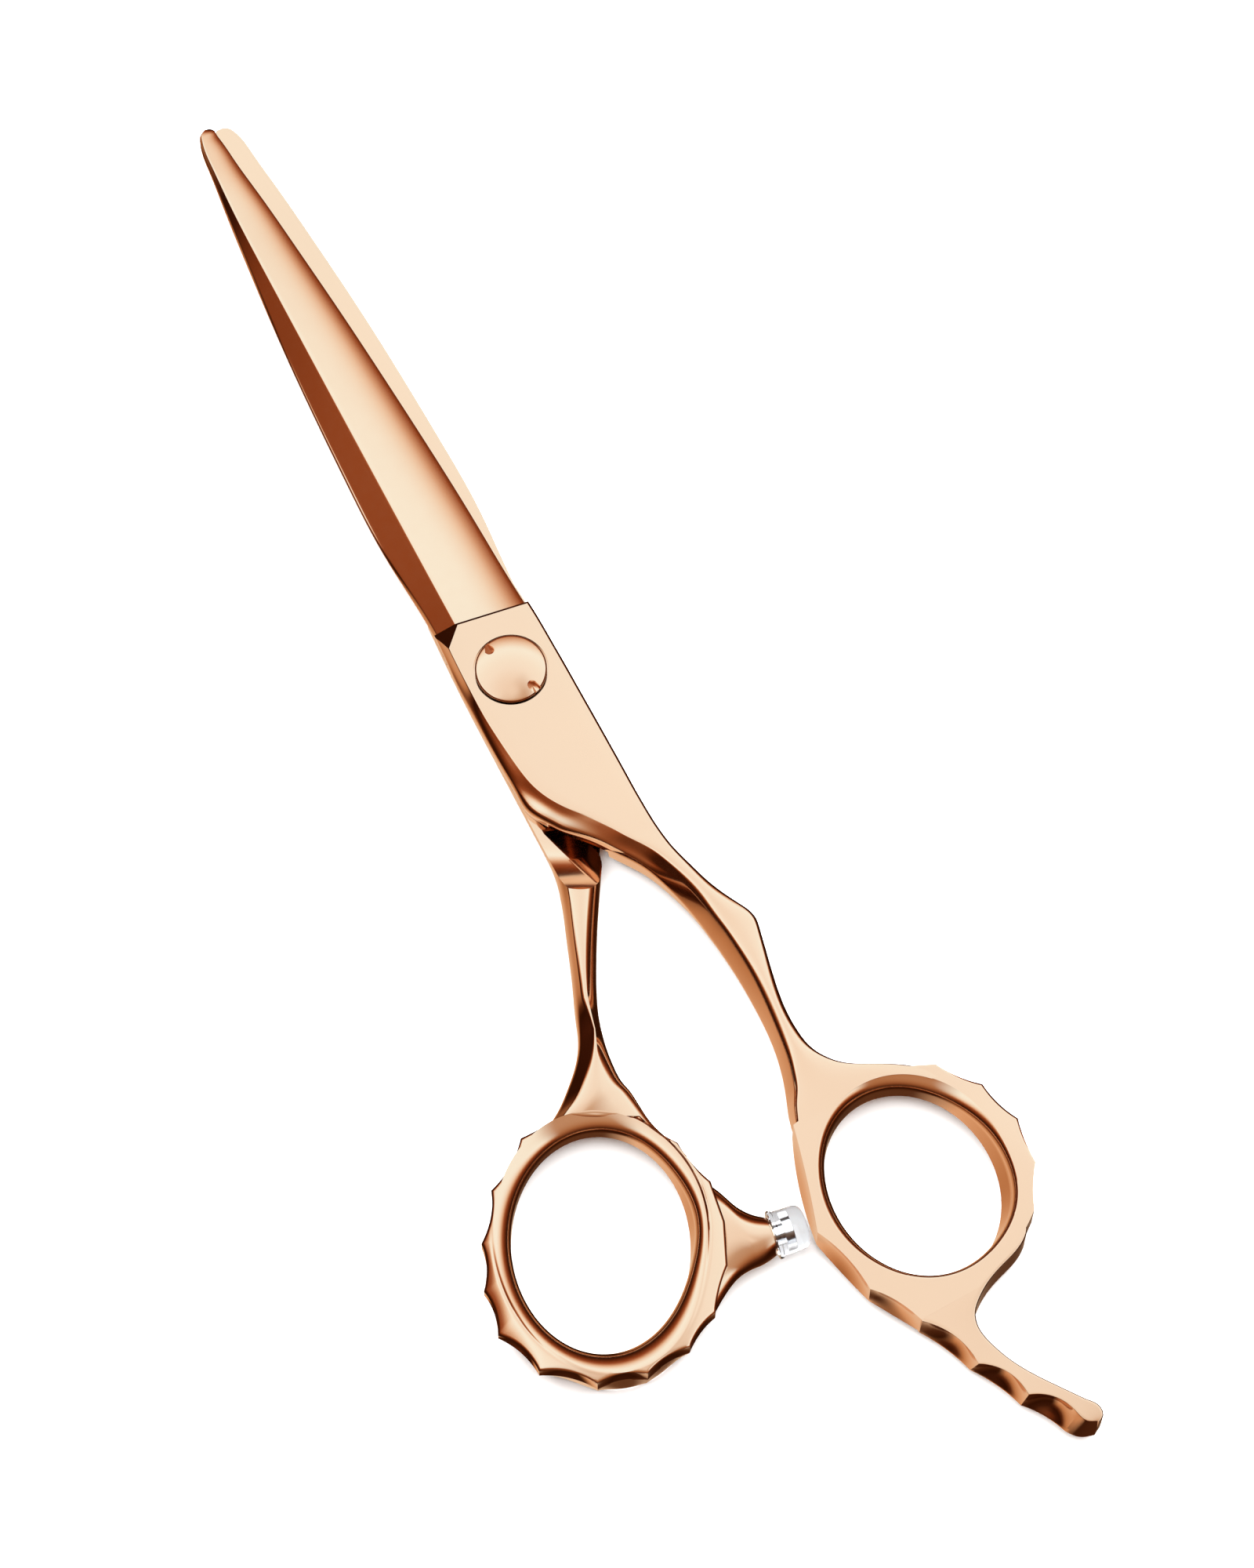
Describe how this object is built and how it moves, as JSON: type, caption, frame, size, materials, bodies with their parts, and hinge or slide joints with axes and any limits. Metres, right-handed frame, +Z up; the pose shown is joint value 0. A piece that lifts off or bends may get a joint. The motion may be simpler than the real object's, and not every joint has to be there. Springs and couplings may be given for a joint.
{
  "type": "hair cutting shears",
  "caption": "Closed hairdressing shears lying flat: two ridged blades on an adjustable pivot, offset faceted finger rings, a curved finger rest and a clear bumper.",
  "frame": {"origin": "on the pivot axis, in the plane of the table the closed shears lie on", "axes": "+Y to the blade tips, +X to the finger ring, +Z up through the screw head"},
  "size_m": [0.0615, 0.1839, 0.0076],
  "materials": {
    "coated_steel": "mirror-polished steel with a rose-gold coat",
    "plain_steel": "plain stainless steel",
    "bush_bronze": "turned bronze",
    "washer_nylon": "dark nylon",
    "clear_silicone": "clear soft silicone, glossy"
  },
  "bodies": {
    "finger_half": {"finger_blade": "coated_steel", "pivot_bush": "bush_bronze", "tension_spring": "plain_steel", "head_washer": "washer_nylon"},
    "thumb_half": {"thumb_blade": "coated_steel", "pivot_nut": "plain_steel", "bumper": "clear_silicone", "bumper_stud": "plain_steel"},
    "screw": {"pivot_screw": "coated_steel"}
  },
  "joints": [
    {"name": "shears_pivot", "type": "hinge", "parent": "finger_half", "child": "thumb_half", "pos_m": [0, 0, 0.0036], "axis": [0, 0, -1], "range_deg": [0, 100]},
    {"name": "screw_turn", "type": "hinge", "parent": "thumb_half", "child": "screw", "pos_m": [0, 0, 0.0036], "axis": [0, 0, 1], "range_deg": [-90, 90]}
  ]
}
